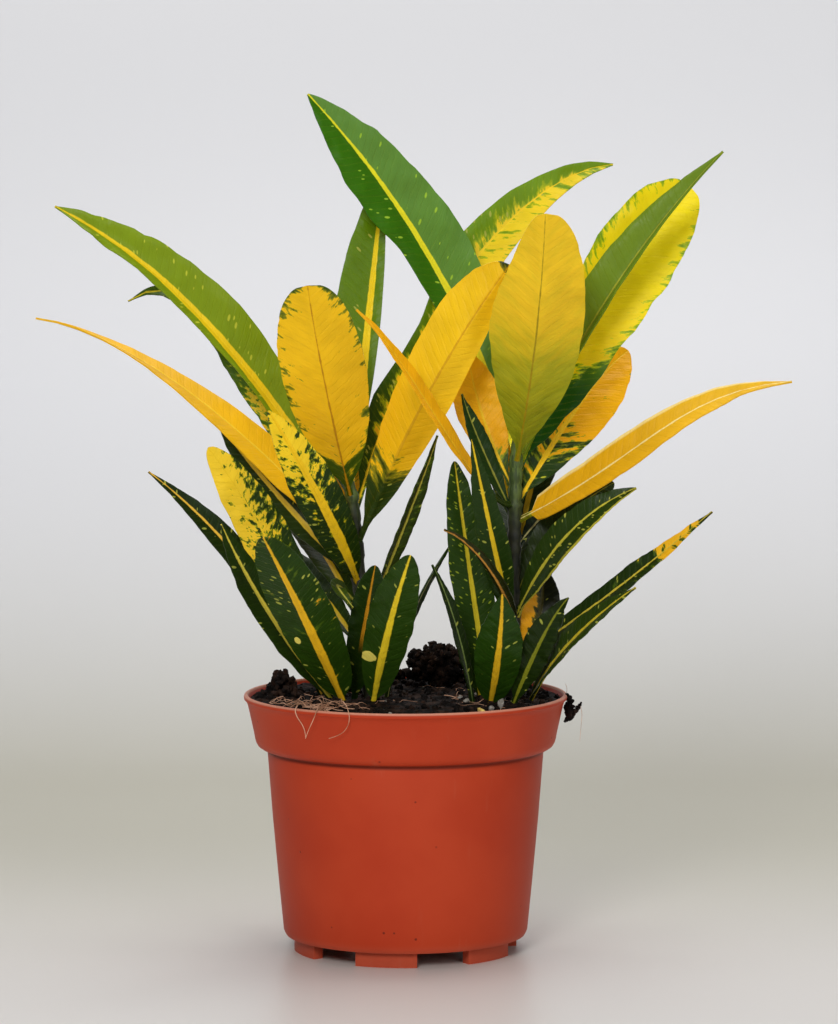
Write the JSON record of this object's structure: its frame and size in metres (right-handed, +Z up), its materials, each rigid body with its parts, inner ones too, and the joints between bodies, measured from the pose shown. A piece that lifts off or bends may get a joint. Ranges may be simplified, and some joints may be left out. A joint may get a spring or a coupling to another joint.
{
  "type": "potted croton",
  "caption": "House plant with long narrow gold, green and speckled dark leaves on short upright stems, in soil in a round tapered plastic pot with a banded rim and small feet.",
  "frame": {"origin": "on the floor under the middle of the pot, at the centre of the box's bottom", "axes": "+Z up, the way the plant grows; -Y is the front of the plant; +X is to the right seen from the front"},
  "size_m": [0.2784, 0.1415, 0.3174],
  "materials": {
    "terracotta_plastic": "satin, injection moulded, with fine scuffs and dust",
    "peat": "loose, damp, crumbly and matte",
    "stem_green": "semi-woody, satin, with leaf scars",
    "leaf_dark": "waxy gloss, dark green with a gold midrib and pale speckles",
    "leaf_gold": "waxy, golden yellow with green flecks at the margins and a green base",
    "leaf_green": "waxy gloss, mid green with a yellow midrib"
  },
  "bodies": {
    "root": {"pot": "terracotta_plastic", "soil": "peat", "soil_clod": "peat", "rim_clod": "peat", "left_stem": "stem_green", "right_stem": "stem_green", "left_leaf_01": "leaf_dark", "left_leaf_02": "leaf_dark", "left_leaf_03": "leaf_dark", "left_leaf_04": "leaf_dark", "left_leaf_05": "leaf_dark", "left_leaf_06": "leaf_dark", "left_leaf_07": "leaf_dark", "left_leaf_08": "leaf_dark", "left_leaf_09": "leaf_gold", "left_leaf_10": "leaf_dark", "left_leaf_11": "leaf_dark", "left_leaf_12": "leaf_dark", "left_leaf_13": "leaf_gold", "left_leaf_14": "leaf_dark", "left_leaf_15": "leaf_gold", "left_leaf_16": "leaf_dark", "left_leaf_17": "leaf_gold", "left_leaf_18": "leaf_gold", "left_leaf_19": "leaf_green", "left_leaf_20": "leaf_gold", "left_leaf_21": "leaf_green", "left_leaf_22": "leaf_gold", "left_leaf_23": "leaf_green", "left_leaf_24": "leaf_green", "left_leaf_25": "leaf_gold", "right_leaf_01": "leaf_dark", "right_leaf_02": "leaf_dark", "right_leaf_03": "leaf_dark", "right_leaf_04": "leaf_dark", "right_leaf_05": "leaf_dark", "right_leaf_06": "leaf_dark", "right_leaf_07": "leaf_dark", "right_leaf_08": "leaf_dark", "right_leaf_09": "leaf_dark", "right_leaf_10": "leaf_dark", "right_leaf_11": "leaf_dark", "right_leaf_12": "leaf_dark", "right_leaf_13": "leaf_dark", "right_leaf_14": "leaf_dark", "right_leaf_15": "leaf_dark", "right_leaf_16": "leaf_dark", "right_leaf_17": "leaf_dark", "right_leaf_18": "leaf_gold", "right_leaf_19": "leaf_gold", "right_leaf_20": "leaf_dark", "right_leaf_21": "leaf_gold", "right_leaf_22": "leaf_green", "right_leaf_23": "leaf_gold", "right_leaf_24": "leaf_gold", "right_leaf_25": "leaf_gold", "right_leaf_26": "leaf_gold", "right_leaf_27": "leaf_green", "right_leaf_28": "leaf_green", "right_leaf_29": "leaf_green"}
  },
  "joints": []
}
